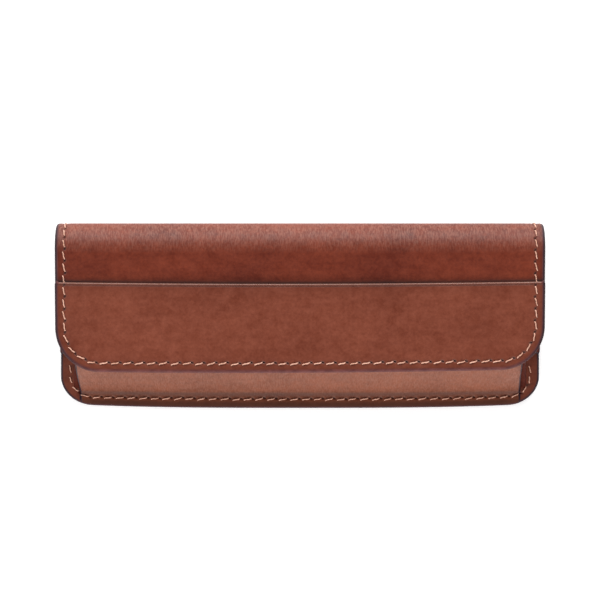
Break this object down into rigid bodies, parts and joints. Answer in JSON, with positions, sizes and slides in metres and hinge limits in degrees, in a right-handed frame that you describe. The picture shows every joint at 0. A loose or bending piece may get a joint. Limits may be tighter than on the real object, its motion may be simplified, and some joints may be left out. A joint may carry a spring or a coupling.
{
  "type": "fountain pen case",
  "caption": "Sewn leather pen box lying on its back, with a wide fold-over flap that has a slip pocket and rounded corners.",
  "frame": {"origin": "centre of the back's outer face, on the surface that the case lies on", "axes": "+X along the case to the right, +Y from the bottom seam to the fold, +Z from the back to the flap"},
  "size_m": [0.17, 0.0656, 0.024],
  "materials": {
    "outer_leather": "burnished vegetable-tanned leather, satin",
    "front_leather": "vegetable-tanned leather, satin with fine wrinkles",
    "gusset_leather": "darker folded leather, satin",
    "lining_leather": "split suede, matte",
    "thread": "waxed twisted thread",
    "magnet": "nickel plate"
  },
  "bodies": {
    "case": {"back_panel": "outer_leather", "back_lining": "lining_leather", "front_panel": "front_leather", "front_lining": "lining_leather", "left_gusset": "gusset_leather", "right_gusset": "gusset_leather", "side_band": "outer_leather", "body_magnets": "magnet", "left_side_stitching": "thread", "right_side_stitching": "thread", "bottom_stitching": "thread"},
    "spine": {"fold_spine": "outer_leather", "spine_lining": "lining_leather", "spine_stitching": "thread"},
    "flap": {"flap_panel": "outer_leather", "flap_lining": "lining_leather", "pocket_panel": "outer_leather", "flap_magnets": "magnet", "flap_stitching": "thread"}
  },
  "joints": [
    {"name": "spine_fold", "type": "hinge", "parent": "case", "child": "spine", "pos_m": [0, 0.0328, 0], "axis": [-1, 0, 0], "range_deg": [0, 90]},
    {"name": "flap_fold", "type": "hinge", "parent": "spine", "child": "flap", "pos_m": [0, 0.0328, 0.024], "axis": [-1, 0, 0], "range_deg": [0, 90]}
  ]
}
